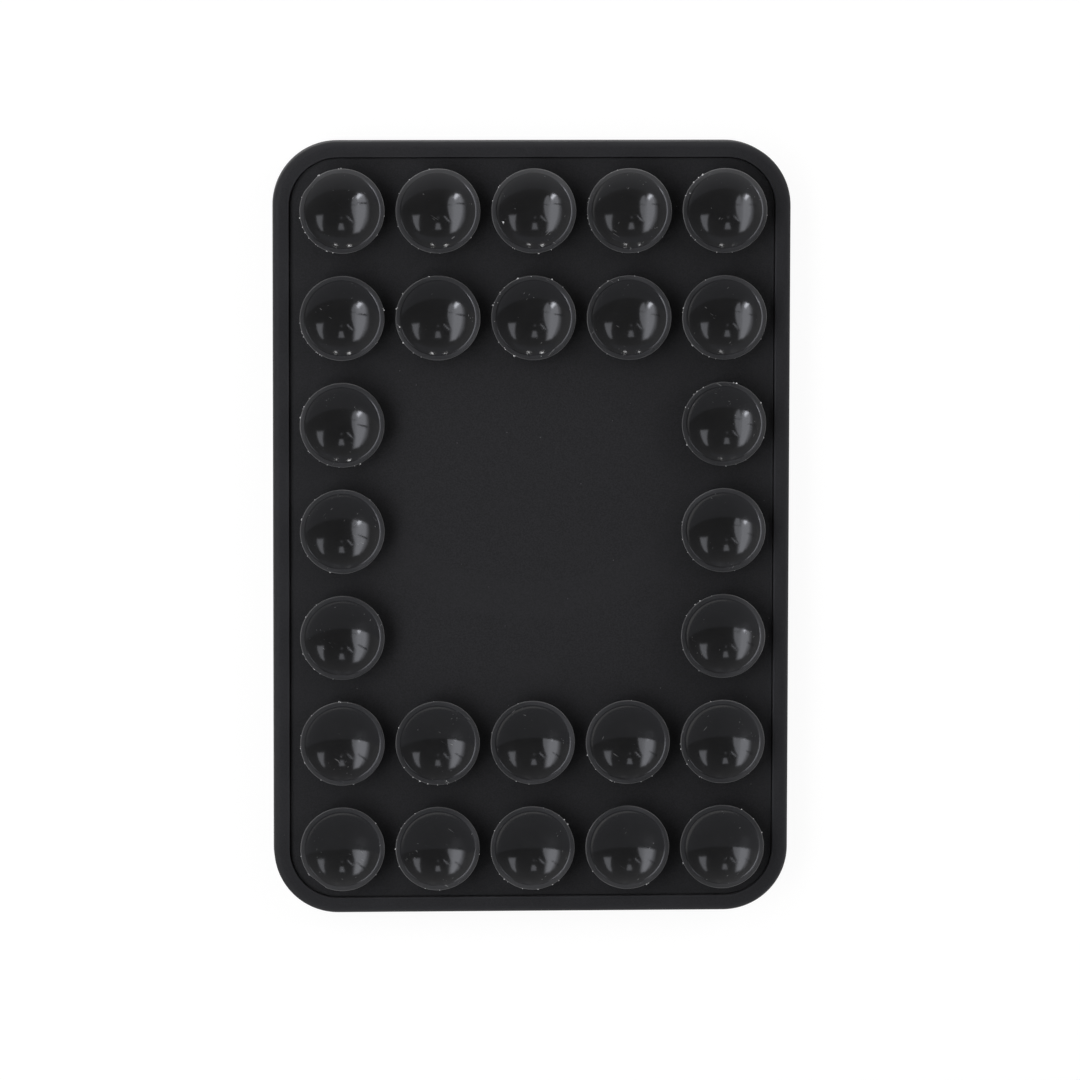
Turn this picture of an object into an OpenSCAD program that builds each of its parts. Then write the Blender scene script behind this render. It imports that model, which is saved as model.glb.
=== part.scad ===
// Suction cup phone holder: a flat tray with a ring of magnets for the back of a phone on one side,
// and a soft pad of small suction cups that grips glass on the other.
// Millimetres. The phone face lies on z = 0 and the cups point up. +Y is the end with the magnet ring.

/* [Magnets] */
// Outer diameter of the magnet ring
ring_od = 54; // [45:0.5:64]
// Width of the ring's band of magnets
ring_band_w = 4; // [3:0.25:6]
// Thickness of the magnets
magnet_t = 1.2; // [0.8:0.1:2.5]
// Width of the rib between two magnets of the ring
ring_rib_w = 0.8; // [0.6:0.1:2]
// Thickness of the steel shunt ring
shunt_t = 0.5; // [0.3:0.1:1]
// Space between the ring and the orientation magnet
bar_space = 5.5; // [4:0.25:7]
// Width of the orientation magnet
bar_w = 6; // [4:0.5:10]
// Length of the orientation magnet
bar_l = 18; // [10:0.5:22]

/* [Tray] */
// Space between the magnet ring and the tray's sides and upper end
ring_margin = 5; // [3.5:0.25:8]
// Length of the tray below the square end that holds the ring
tail_l = 32; // [26:0.5:44]
// Radius of the tray's corners, seen from above
tray_corner_r = 8; // [5:0.25:10]
// Thickness of the tray's floor
tray_floor_t = 0.8; // [0.5:0.1:2]
// Width of the raised border
border_w = 1.95; // [1.3:0.05:2.8]
// Height of the border above the pad
border_rise = 0.5; // [0.1:0.1:1.2]
// Radius of the border's rounded outer edge
border_round_r = 0.8; // [0.3:0.1:1.2]
// Radius of the tray's rounded lower edge
base_round_r = 0.7; // [0.3:0.1:1.1]

/* [Suction cups] */
// Space between two cups of a row
cup_space = 1.3; // [0.8:0.05:2.5]
// Space between the outer cups and the border
cup_edge_space = 1.2; // [0.6:0.05:2.4]
// Height of the neck between the pad and the bowl
neck_h = 0.6; // [0.5:0.05:2.5]
// Depth of the bowl below the bevelled lip
bowl_depth = 1.7; // [1:0.1:1.9]
// Wall of the cup at the middle of its bowl
cup_wall = 0.6; // [0.35:0.05:0.8]
// Width of the bevelled sealing lip
lip_w = 0.7; // [0.4:0.05:1]
// Drop of the bevel from the rim to the bowl
lip_drop = 0.1; // [0.05:0.05:0.25]
// Height of the thin edge at the rim
lip_edge_h = 0.25; // [0.15:0.05:0.4]
// Radius of the neck that carries the cup
neck_r = 2.2; // [1.6:0.1:2.8]
// Radius of the fillet at the foot of the neck
neck_fillet_r = 0.3; // [0.15:0.05:0.35]

/* [Suction pad] */
// Thickness of the pad's sheet
pad_t = 1; // [0.6:0.1:2]
// Width of the groove between the pad and the border
pad_groove_w = 0.3; // [0.1:0.05:0.6]
// Radius of the pad's rounded upper edge
pad_edge_r = 0.2; // [0.1:0.05:0.5]

/* [Phone side] */
// Thickness of the soft skin on the phone side
skin_t = 0.8; // [0.5:0.1:1.5]
// Height of the skin beyond the tray's edge
skin_proud = 0.2; // [0.1:0.05:0.4]
// Distance from the tray's side to the skin's edge
skin_inset = 2.2; // [1.5:0.1:4]
// Radius of the skin's rounded edge
skin_edge_r = 0.2; // [0.1:0.05:0.35]
// Depth of the ring and bar that mark where the magnets are
mark_depth = 0.15; // [0.05:0.05:0.3]
// Thickness of each adhesive film
film_t = 0.1; // [0.05:0.05:0.3]

/* [Hidden] */
$fn = 96;

// Clearance between a piece and the recess or tray that it drops into
seat_gap = 0.1;
// Clearance between a magnet and its window
magnet_gap = 0.05;
// Flat land at the outside of a cup's lip
lip_land_w = 0.1;
// Height of the flat foot under the neck's fillet
foot_h = 0.1;
// How far a film stays inside the piece that it holds
film_inset = 0.5;
// Distance that a cut runs past the face that it opens
cut_over = 0.5;

// Heights of the stack, from the phone face up
skin_top = skin_t;
floor_z = skin_top + film_t;
floor_top = floor_z + tray_floor_t;
magnet_top = floor_top + magnet_t;
core_top = magnet_top + shunt_t;
pad_z = core_top + film_t;
pad_top = pad_z + pad_t;
border_top = pad_top + border_rise;

// The tray's square end is centred on the ring
tray_w = ring_od + 2 * ring_margin;
tray_l = tray_w + tail_l;
ring_y = tail_l / 2;

// Room inside the border
field_w = tray_w - 2 * border_w;
field_l = tray_l - 2 * border_w;
field_corner_r = tray_corner_r - border_w;

// The ring is made of equal magnets with a rib between each two, and the bar lies below it
ring_out_r = ring_od / 2;
ring_in_r = ring_out_r - ring_band_w;
ring_mid_r = (ring_out_r + ring_in_r) / 2;
magnet_count = 16;
magnet_step = 360 / magnet_count;
window_angle = magnet_step - ring_rib_w / ring_mid_r * 180 / PI;
magnet_angle = window_angle - 2 * magnet_gap / ring_mid_r * 180 / PI;
bar_y = ring_y - ring_out_r - bar_space - bar_l / 2;

// The cups fill the field's width, in even rows along it, with the middle of the pattern left out
cup_rows = 7;
cup_cols = 5;
cup_r = (field_w - 2 * cup_edge_space - (cup_cols - 1) * cup_space) / (2 * cup_cols);
col_pitch = 2 * cup_r + cup_space;
row_pitch = (field_l - 2 * cup_edge_space - 2 * cup_r) / (cup_rows - 1);
plain_rows = [3, 5];
plain_cols = [2, 4];

// A cup's bowl and its outside are parts of two balls
cup_h = neck_h + cup_wall + bowl_depth + lip_drop;
lip_r = cup_r - lip_w;
bowl_rim_z = cup_h - lip_drop;
bowl_ball_r = (lip_r * lip_r + bowl_depth * bowl_depth) / (2 * bowl_depth);
bowl_ball_z = bowl_rim_z - bowl_depth + bowl_ball_r;
back_rise = cup_h - lip_edge_h - neck_h;
back_ball_r = (cup_r * cup_r + back_rise * back_rise) / (2 * back_rise);
back_ball_z = neck_h + back_ball_r;

shell_colour = [0.16, 0.16, 0.165];
pad_colour = [0.15, 0.15, 0.155];
cup_colour = [0.24, 0.24, 0.25];
core_colour = [0.32, 0.33, 0.35];
skin_colour = [0.13, 0.13, 0.14];
film_colour = [0.82, 0.80, 0.72];
magnet_colour = [0.72, 0.73, 0.75];
shunt_colour = [0.52, 0.54, 0.57];

function is_plain(row, col) =
    row >= plain_rows[0] && row <= plain_rows[1] && col >= plain_cols[0] && col <= plain_cols[1];
function cup_x(cup) = (cup[1] - (cup_cols + 1) / 2) * col_pitch;
function cup_y(cup) = ((cup_rows + 1) / 2 - cup[0]) * row_pitch;
function cup_name(cup) = str("suction_cup_r", cup[0], "c", cup[1]);
function magnet_name(number) = str("ring_magnet_", number < 10 ? "0" : "", number);

CUPS = [for (row = [1 : cup_rows]) for (col = [1 : cup_cols]) if (!is_plain(row, col)) [row, col]];
MAGNETS = [for (number = [1 : magnet_count]) number];

// Shared shapes

// Rounded rectangle, centred on the origin
module outline(w, l, r) {
    square([w - 2 * r, l], center = true);
    square([w, l - 2 * r], center = true);
    for (x = [-1, 1], y = [-1, 1])
        translate([x * (w / 2 - r), y * (l / 2 - r)]) circle(r = r);
}

// Flat slab with square edges, standing on z = 0
module slab(w, l, r, h) {
    linear_extrude(height = h) outline(w, l, r);
}

// Sweeps a profile round a rounded rectangle. The profile starts at the corner's centre, x = 0,
// and ends at the rectangle's edge, x = r. Its y is the height.
module sweep_round(w, l, r) {
    long = l - 2 * r;
    wide = w - 2 * r;
    for (side = [0, 1]) {
        rotate([0, 0, 180 * side]) {
            translate([wide / 2, long / 2, 0]) {
                rotate([90, 0, 0]) linear_extrude(height = long) children();
                rotate_extrude(angle = 90) children();
            }
            translate([-wide / 2, long / 2, 0]) {
                rotate([90, 0, 90]) linear_extrude(height = wide) children();
                rotate([0, 0, 90]) rotate_extrude(angle = 90) children();
            }
        }
    }
}

// Section of a slab's edge with a rounded lower and upper corner
module edge_section(r, h, low_r, high_r) {
    translate([0, low_r]) square([r, h - low_r - high_r]);
    square([r - low_r, h]);
    translate([r - low_r, low_r]) circle(r = low_r);
    square([r - high_r, h]);
    translate([r - high_r, h - high_r]) circle(r = high_r);
}

// Slab with rounded lower and upper edges, standing on z = 0
module soft_slab(w, l, r, h, low_r, high_r) {
    translate([0, 0, h / 2]) cube([w - 2 * r, l - 2 * r, h], center = true);
    sweep_round(w, l, r) edge_section(r, h, low_r, high_r);
}

// Stretch of a flat ring, centred on the direction of its number
module ring_sector(number, in_r, out_r, angle, h) {
    rotate([0, 0, (number - 0.5) * magnet_step - angle / 2])
        rotate_extrude(angle = angle) translate([in_r, 0]) square([out_r - in_r, h]);
}

// Whole flat ring
module flat_ring(in_r, out_r, h) {
    difference() {
        cylinder(r = out_r, h = h);
        translate([0, 0, -cut_over]) cylinder(r = in_r, h = h + 2 * cut_over);
    }
}

// Bar with square ends, as long and wide as the orientation magnet and a margin all round
module bar(margin, h) {
    translate([0, bar_y, h / 2]) cube([bar_w + 2 * margin, bar_l + 2 * margin, h], center = true);
}

// The pieces

// Rigid tray: a rounded slab, hollowed from above for the core and from below for the skin
module back_shell() {
    color(shell_colour) difference() {
        translate([0, 0, skin_proud])
            soft_slab(tray_w, tray_l, tray_corner_r, border_top - skin_proud, base_round_r, border_round_r);
        translate([0, 0, floor_top])
            slab(field_w, field_l, field_corner_r, border_top - floor_top + cut_over);
        translate([0, 0, -cut_over])
            slab(
                tray_w - 2 * skin_inset + 2 * seat_gap,
                tray_l - 2 * skin_inset + 2 * seat_gap,
                tray_corner_r - skin_inset + seat_gap,
                floor_z + cut_over
            );
    }
}

// Soft sheet that carries the cups
module suction_pad() {
    color(pad_colour) difference() {
        translate([0, 0, pad_z - pad_t])
            soft_slab(
                field_w - 2 * pad_groove_w,
                field_l - 2 * pad_groove_w,
                field_corner_r - pad_groove_w,
                2 * pad_t,
                pad_edge_r,
                pad_edge_r
            );
        translate([0, 0, pad_z - pad_t - cut_over]) slab(tray_w, tray_l, tray_corner_r, pad_t + cut_over);
    }
}

// Section of a suction cup: a thin bowl with a bevelled lip, on a filleted neck
module cup_section() {
    difference() {
        union() {
            intersection() {
                translate([0, back_ball_z]) circle(r = back_ball_r);
                square([cup_r, cup_h]);
            }
            square([neck_r, neck_h + cup_wall]);
            difference() {
                square([neck_r + neck_fillet_r, foot_h + neck_fillet_r]);
                translate([neck_r + neck_fillet_r, foot_h + neck_fillet_r]) circle(r = neck_fillet_r);
            }
        }
        translate([0, bowl_ball_z]) circle(r = bowl_ball_r);
        polygon([
            [0, bowl_rim_z],
            [lip_r, bowl_rim_z],
            [cup_r - lip_land_w, cup_h],
            [cup_r - lip_land_w, cup_h + cut_over],
            [0, cup_h + cut_over]
        ]);
    }
}

module suction_cup(cup) {
    color(cup_colour) translate([cup_x(cup), cup_y(cup), pad_top]) rotate_extrude() cup_section();
}

// Carrier with a through ring that holds the magnets and the shunt ring, crossed by a low rib between
// each two magnets, and with a pocket for the bar
module core_plate() {
    core_inset = border_w + seat_gap;
    in_r = ring_in_r - magnet_gap;
    out_r = ring_out_r + magnet_gap;
    color(core_colour) {
        difference() {
            translate([0, 0, floor_top])
                slab(
                    tray_w - 2 * core_inset,
                    tray_l - 2 * core_inset,
                    tray_corner_r - core_inset,
                    core_top - floor_top
                );
            translate([0, ring_y, floor_top - cut_over])
                flat_ring(in_r, out_r, core_top - floor_top + 2 * cut_over);
            translate([0, 0, floor_top - cut_over]) bar(magnet_gap, magnet_t + cut_over);
        }
        for (number = MAGNETS)
            translate([0, ring_y, floor_top])
                ring_sector(
                    number + 0.5,
                    in_r - cut_over,
                    out_r + cut_over,
                    magnet_step - window_angle,
                    magnet_t
                );
    }
}

module ring_magnet(number) {
    color(magnet_colour) translate([0, ring_y, floor_top])
        ring_sector(number, ring_in_r, ring_out_r, magnet_angle, magnet_t);
}

module shunt_ring() {
    color(shunt_colour) translate([0, ring_y, magnet_top]) flat_ring(ring_in_r, ring_out_r, shunt_t);
}

module orientation_magnet() {
    color(magnet_colour) translate([0, 0, floor_top]) bar(0, magnet_t);
}

// Film between the core and the pad
module pad_adhesive() {
    inset = border_w + pad_groove_w + film_inset;
    color(film_colour) translate([0, 0, core_top])
        slab(tray_w - 2 * inset, tray_l - 2 * inset, tray_corner_r - inset, film_t);
}

// Soft sheet on the phone side, with a shallow ring and bar where the magnets lie
module phone_skin() {
    color(skin_colour) difference() {
        soft_slab(
            tray_w - 2 * skin_inset,
            tray_l - 2 * skin_inset,
            tray_corner_r - skin_inset,
            2 * skin_t,
            skin_edge_r,
            skin_edge_r
        );
        translate([0, 0, skin_top]) slab(tray_w, tray_l, tray_corner_r, skin_t + cut_over);
        translate([0, ring_y, -cut_over]) flat_ring(ring_in_r, ring_out_r, mark_depth + cut_over);
        translate([0, 0, -cut_over]) bar(0, mark_depth + cut_over);
    }
}

// Film between the skin and the shell
module skin_adhesive() {
    inset = skin_inset + film_inset;
    color(film_colour) translate([0, 0, skin_top])
        slab(tray_w - 2 * inset, tray_l - 2 * inset, tray_corner_r - inset, film_t);
}

back_shell();
suction_pad();
core_plate();
shunt_ring();
orientation_magnet();
pad_adhesive();
phone_skin();
skin_adhesive();
for (number = MAGNETS)
    ring_magnet(number);
for (cup = CUPS)
    suction_cup(cup);
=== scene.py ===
"""Looks of a suction cup phone holder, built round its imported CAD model.

The holder is a flat tray. One side carries a soft pad with 26 small suction cups, and the other side
carries a soft skin over a ring of magnets, where a phone sits. The cups, the pad, the skin and the
tray's shell are modelled here as fine meshes. The pieces inside keep their CAD shape and get a finish.
Sizes are in millimetres in the classes below, and every mesh is made in metres.
"""

from __future__ import annotations

import logging
import math
import random
from dataclasses import dataclass, field, replace
from enum import Enum

import bmesh
import bpy
from mathutils import Matrix, Vector, noise


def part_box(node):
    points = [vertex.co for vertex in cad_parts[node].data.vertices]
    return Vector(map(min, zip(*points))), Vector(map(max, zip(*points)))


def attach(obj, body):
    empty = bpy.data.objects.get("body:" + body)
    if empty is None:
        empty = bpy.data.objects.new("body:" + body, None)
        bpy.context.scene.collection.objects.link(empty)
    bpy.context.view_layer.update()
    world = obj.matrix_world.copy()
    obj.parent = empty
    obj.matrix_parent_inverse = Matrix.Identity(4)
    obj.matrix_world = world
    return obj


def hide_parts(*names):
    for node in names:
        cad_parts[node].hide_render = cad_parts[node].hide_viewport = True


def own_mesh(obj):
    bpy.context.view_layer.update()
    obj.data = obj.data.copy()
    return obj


LOG = logging.getLogger("phone_holder")
MM = 0.001

Point = tuple[float, float]
Place = tuple[float, float, float]
Colour = tuple[float, float, float]
Ring = tuple[float, float, float]
Bar = tuple[float, float, float, float]

# Range that nearly all values of a noise pattern lie in
NOISE_LOW, NOISE_HIGH = 0.3, 0.7
# Sockets of a Mix node that mixes colours
MIX_FIRST, MIX_SECOND, MIX_RESULT = 6, 7, 2
# Share of a speck's radius that it covers fully
SPECK_CORE = 0.6


class Slot(Enum):
    """Material slots, each with its own finish."""

    SHELL = "shell"
    PAD = "pad"
    CUP = "cup"
    SKIN = "skin"
    FILM = "film"
    CORE = "core"
    MAGNET = "magnet"
    SHUNT = "shunt"


class Mask(Enum):
    """Point attributes of the meshes, from 0 to 1.

    They tell where a cup is satin or hazy, where its rim carries a painted highlight and painted glow or a
    crumb is pale, where the shell's edge carries a painted highlight and some wear, how near the pad's
    magnets are, how much painted shade falls on the pad where cups stand close, and how far a panel glows.
    """

    LIP = "lip"
    # some wear and a painted highlight on the shell's edges
    EDGE = "edge"
    BAND = "band"
    # painted shade on the pad where cups stand close
    FEET = "painted_shade"
    HAZE = "haze"
    # pale crumbs, and a painted highlight and painted glow on the cups' rims and lips
    PALE_AND_HIGHLIGHT = "pale"
    GLOW = "glow"


# Finishes


@dataclass(frozen=True)
class Specks:
    """Scattered round specks: spacing of their places, radius, and share of the places that hold one."""

    cell_mm: float
    size_mm: float
    share: float


class Nodes:
    """A material's node tree, with short calls that add its nodes.

    Texture coordinates are in the object's own space, in metres, so every feature size is given in
    millimetres and turned into a texture scale.
    """

    def __init__(self, name: str) -> None:
        """Makes an empty material.

        Args:
            name: Name of the material.
        """
        self.material = bpy.data.materials.new(name)
        self.material.use_nodes = True
        self.tree = self.material.node_tree
        self.tree.nodes.clear()
        self.output = self.add("ShaderNodeOutputMaterial")
        self.place = self.add("ShaderNodeTexCoord").outputs["Object"]

    @classmethod
    def of_world(cls, world: bpy.types.World) -> Nodes:
        """Takes over a world's node tree.

        Args:
            world: The world, whose nodes are removed.

        Returns:
            The nodes, whose coordinates are directions.
        """
        nodes = cls.__new__(cls)
        nodes.tree = world.node_tree
        nodes.tree.nodes.clear()
        nodes.output = nodes.add("ShaderNodeOutputWorld")
        nodes.place = nodes.add("ShaderNodeTexCoord").outputs["Generated"]
        return nodes

    def add(self, kind: str, **values: object) -> bpy.types.Node:
        """Adds a node.

        Args:
            kind: Blender's name for the node.
            values: Settings of the node.

        Returns:
            The new node.
        """
        node = self.tree.nodes.new(kind)
        for name, value in values.items():
            setattr(node, name, value)
        return node

    def feed(self, socket: bpy.types.NodeSocket, value: object) -> None:
        """Links a socket to another one, or sets it to a plain value.

        Args:
            socket: The input to feed.
            value: An output socket, a number or a colour.
        """
        if isinstance(value, bpy.types.NodeSocket):
            self.tree.links.new(value, socket)
        else:
            socket.default_value = value

    def math(self, operation: str, first: object, second: object) -> bpy.types.NodeSocket:
        """Combines two numbers.

        Args:
            operation: Blender's name for the operation.
            first: A socket or a number.
            second: A socket or a number.

        Returns:
            The result's socket.
        """
        node = self.add("ShaderNodeMath", operation=operation)
        self.feed(node.inputs[0], first)
        self.feed(node.inputs[1], second)
        return node.outputs[0]

    def stretched(self, length: float, turn: float = 0.0) -> bpy.types.NodeSocket:
        """Texture coordinates in which a pattern is drawn out along Y, after a turn.

        Args:
            length: How many times longer the pattern gets.
            turn: Turn of that direction about Z, in degrees.

        Returns:
            The coordinates' socket.
        """
        node = self.add("ShaderNodeMapping", vector_type="TEXTURE")
        self.feed(node.inputs["Vector"], self.place)
        node.inputs["Scale"].default_value = (1.0, length, 1.0)
        node.inputs["Rotation"].default_value = (0.0, 0.0, math.radians(turn))
        return node.outputs["Vector"]

    def noise(self, size_mm: float, detail: float = 3.0, place: object = None) -> bpy.types.NodeSocket:
        """Cloudy pattern from 0 to 1.

        Args:
            size_mm: Size of the clouds.
            detail: Number of finer octaves.
            place: Other coordinates than the object's own.

        Returns:
            The pattern's socket.
        """
        node = self.add("ShaderNodeTexNoise")
        self.feed(node.inputs["Vector"], place or self.place)
        node.inputs["Scale"].default_value = 1.0 / (size_mm * MM)
        node.inputs["Detail"].default_value = detail
        return node.outputs["Fac"]

    def cells(self, cell_mm: float) -> bpy.types.Node:
        """Adds a pattern of cells, with the distance from each cell's middle and a colour for each cell.

        Args:
            cell_mm: Size of a cell.

        Returns:
            The pattern's node.
        """
        node = self.add("ShaderNodeTexVoronoi", feature="F1")
        self.feed(node.inputs["Vector"], self.place)
        node.inputs["Scale"].default_value = 1.0 / (cell_mm * MM)
        return node

    def remap(
        self, value: object, low: float, high: float, start: float = 0.0, end: float = 1.0
    ) -> bpy.types.NodeSocket:
        """Maps a value from one range to another and clamps it.

        Args:
            value: The socket to map.
            low: Value that becomes start.
            high: Value that becomes end.
            start: Result at low.
            end: Result at high.

        Returns:
            The result's socket.
        """
        node = self.add("ShaderNodeMapRange")
        settings = {"Value": value, "From Min": low, "From Max": high, "To Min": start, "To Max": end}
        for name, number in settings.items():
            self.feed(node.inputs[name], number)
        return node.outputs["Result"]

    def spread(self, pattern: object, start: float = 0.0, end: float = 1.0) -> bpy.types.NodeSocket:
        """Maps the range that nearly all of a noise pattern lies in.

        Args:
            pattern: The pattern's socket.
            start: Result where the pattern is low.
            end: Result where the pattern is high.

        Returns:
            The result's socket.
        """
        return self.remap(pattern, NOISE_LOW, NOISE_HIGH, start, end)

    def blend(self, share: object, first: object, second: object) -> bpy.types.NodeSocket:
        """Mixes two colours.

        Args:
            share: Share of the second colour.
            first: Colour at share 0.
            second: Colour at share 1.

        Returns:
            The mixed colour's socket.
        """
        node = self.add("ShaderNodeMix", data_type="RGBA")
        self.feed(node.inputs["Factor"], share)
        self.feed(node.inputs[MIX_FIRST], first)
        self.feed(node.inputs[MIX_SECOND], second)
        return node.outputs[MIX_RESULT]

    def mottle(self, share: object, colour: Colour, levels: Point) -> bpy.types.NodeSocket:
        """Lets the level of a colour wander.

        Args:
            share: Share of the second level, a socket.
            colour: The colour.
            levels: Factors on the colour at share 0 and at share 1.

        Returns:
            The colour's socket.
        """
        return self.blend(share, rgba(colour, levels[0]), rgba(colour, levels[1]))

    def mask(self, name: Mask) -> bpy.types.NodeSocket:
        """Reads a point attribute of the mesh, from 0 to 1."""
        return self.add("ShaderNodeAttribute", attribute_name=name.value).outputs["Fac"]

    def specks(self, kind: Specks) -> bpy.types.NodeSocket:
        """Scattered round specks, such as dust.

        Args:
            kind: Their sizes and number.

        Returns:
            A mask, 1 on a speck.
        """
        cells = self.cells(kind.cell_mm)
        core = SPECK_CORE * kind.size_mm / kind.cell_mm
        near = self.remap(cells.outputs["Distance"], core, kind.size_mm / kind.cell_mm, 1.0, 0.0)
        pick = self.add("ShaderNodeSeparateColor")
        self.feed(pick.inputs["Color"], cells.outputs["Color"])
        chosen = self.math("LESS_THAN", pick.outputs[0], kind.share)
        return self.math("MULTIPLY", near, chosen)

    def bump(self, height: object, depth_mm: float) -> bpy.types.NodeSocket:
        """Turns a height pattern into surface relief.

        Args:
            height: Pattern from 0 to 1.
            depth_mm: Depth of the relief between 0 and 1.

        Returns:
            The surface normal's socket.
        """
        node = self.add("ShaderNodeBump")
        node.inputs["Strength"].default_value = 1.0
        node.inputs["Distance"].default_value = depth_mm * MM
        self.feed(node.inputs["Height"], height)
        return node.outputs["Normal"]

    def principled(self, colour: object, roughness: object, normal: object, **constants: float) -> None:
        """Ends the material in a Principled shader.

        Args:
            colour: Base colour, a socket.
            roughness: Roughness, a socket.
            normal: Surface normal, a socket.
            constants: Plain values of other inputs, with underscores for the spaces in their names.
        """
        shader = self.add("ShaderNodeBsdfPrincipled")
        self.feed(shader.inputs["Base Color"], colour)
        self.feed(shader.inputs["Roughness"], roughness)
        self.feed(shader.inputs["Normal"], normal)
        for name, value in constants.items():
            shader.inputs[name.replace("_", " ")].default_value = value
        self.feed(self.output.inputs["Surface"], shader.outputs["BSDF"])


def rgba(colour: Colour, level: float = 1.0) -> tuple[float, float, float, float]:
    """Colour with an alpha of 1.

    Args:
        colour: Linear red, green and blue.
        level: Factor on all three.

    Returns:
        Red, green, blue and alpha.
    """
    return (colour[0] * level, colour[1] * level, colour[2] * level, 1.0)


@dataclass(frozen=True)
class Finish:
    """A finish of one material slot.

    Levels are factors on its colour, and its roughness runs from the first value to the second.
    """

    name: str
    colour: Colour
    roughness: Point

    def make(self) -> bpy.types.Material:
        """Builds the material."""
        raise NotImplementedError


@dataclass(frozen=True)
class SoftTouchPlastic(Finish):
    """Matte coated plastic with a fine grain, faint scuffs, dust, and slightly polished edges painted paler
    as a painted highlight with some wear.
    """

    cloud_mm: float = 9.0
    cloud_levels: Point = (0.9, 1.1)
    grain_mm: float = 0.17
    grain_depth_mm: float = 0.008
    grain_share: float = 0.5
    grain_level: float = 1.9
    edge_wear_and_highlight_level: float = 1.7
    edge_polish: float = 0.08
    scuff_mm: float = 0.3
    scuff_stretch: float = 14.0
    scuff_turn: float = 24.0
    scuff_range: Point = (0.72, 0.76)
    scuff_share: float = 0.4
    scuff_level: float = 2.0
    dust: Specks = Specks(2.4, 0.07, 0.6)
    dust_colour: Colour = (0.11, 0.11, 0.115)

    def make(self) -> bpy.types.Material:
        """Builds the material.

        Returns:
            The material.
        """
        n = Nodes(self.name)
        clouds = n.noise(self.cloud_mm, detail=4.0)
        flecks = n.noise(self.grain_mm, detail=2.0)
        edge = n.mask(Mask.EDGE)
        colour = n.mottle(n.spread(clouds), self.colour, self.cloud_levels)
        colour = n.blend(n.spread(flecks, 0.0, self.grain_share), colour, rgba(self.colour, self.grain_level))
        # painted highlight: the edges are lightened for light on the inner wall and grazing light on the
        # outer round, with a little wear
        colour = n.blend(edge, colour, rgba(self.colour, self.edge_wear_and_highlight_level))
        scuff = n.noise(self.scuff_mm, detail=1.0, place=n.stretched(self.scuff_stretch, self.scuff_turn))
        scuffs = n.remap(scuff, *self.scuff_range, 0.0, self.scuff_share)
        colour = n.blend(scuffs, colour, rgba(self.colour, self.scuff_level))
        colour = n.blend(n.specks(self.dust), colour, rgba(self.dust_colour))
        rough = n.spread(clouds, *self.roughness)
        rough = n.math("SUBTRACT", rough, n.math("MULTIPLY", edge, self.edge_polish))
        normal = n.bump(flecks, self.grain_depth_mm)
        shine = {"IOR": 1.46, "Specular_IOR_Level": 0.25, "Sheen_Weight": 0.04, "Sheen_Roughness": 0.35}
        n.principled(colour, rough, normal, **shine)
        return n.material


@dataclass(frozen=True)
class PadSilicone(Finish):
    """Matte silicone with a fine mould texture and dust, paler over the magnets, with painted shade among the
    cups.
    """

    blotch_mm: float = 14.0
    blotch_levels: Point = (0.88, 1.12)
    band_level: float = 1.33
    band_polish: float = 0.03
    painted_shade_level: float = 0.72
    grain_mm: float = 0.17
    grain_range: Point = (0.34, 0.66)
    grain_level: float = 2.4
    grain_depth_mm: float = 0.01
    dust: Specks = Specks(1.9, 0.065, 0.6)
    lint: Specks = Specks(4.3, 0.1, 0.16)
    dust_colour: Colour = (0.09, 0.09, 0.093)

    def make(self) -> bpy.types.Material:
        """Builds the material.

        Returns:
            The material.
        """
        n = Nodes(self.name)
        blotches = n.noise(self.blotch_mm)
        flecks = n.noise(self.grain_mm)
        band = n.mask(Mask.BAND)
        painted_shade = n.mask(Mask.FEET)
        colour = n.mottle(n.spread(blotches), self.colour, self.blotch_levels)
        # painted shade: colour and grain are darkened where cups stand close, standing in for the shadow
        # among them
        colour = n.blend(painted_shade, colour, rgba(self.colour, self.painted_shade_level))
        open_band = n.math("MULTIPLY", band, n.math("SUBTRACT", 1.0, painted_shade))
        colour = n.blend(open_band, colour, rgba(self.colour, self.band_level))
        grain = n.mottle(painted_shade, self.colour, (self.grain_level, self.grain_level * self.painted_shade_level))
        colour = n.blend(n.remap(flecks, *self.grain_range), colour, grain)
        dust = n.math("MAXIMUM", n.specks(self.dust), n.specks(self.lint))
        colour = n.blend(dust, colour, rgba(self.dust_colour))
        rough = n.spread(blotches, *self.roughness)
        rough = n.math("SUBTRACT", rough, n.math("MULTIPLY", band, self.band_polish))
        normal = n.bump(flecks, self.grain_depth_mm)
        n.principled(colour, rough, normal, IOR=1.42, Specular_IOR_Level=0.35)
        return n.material


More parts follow.
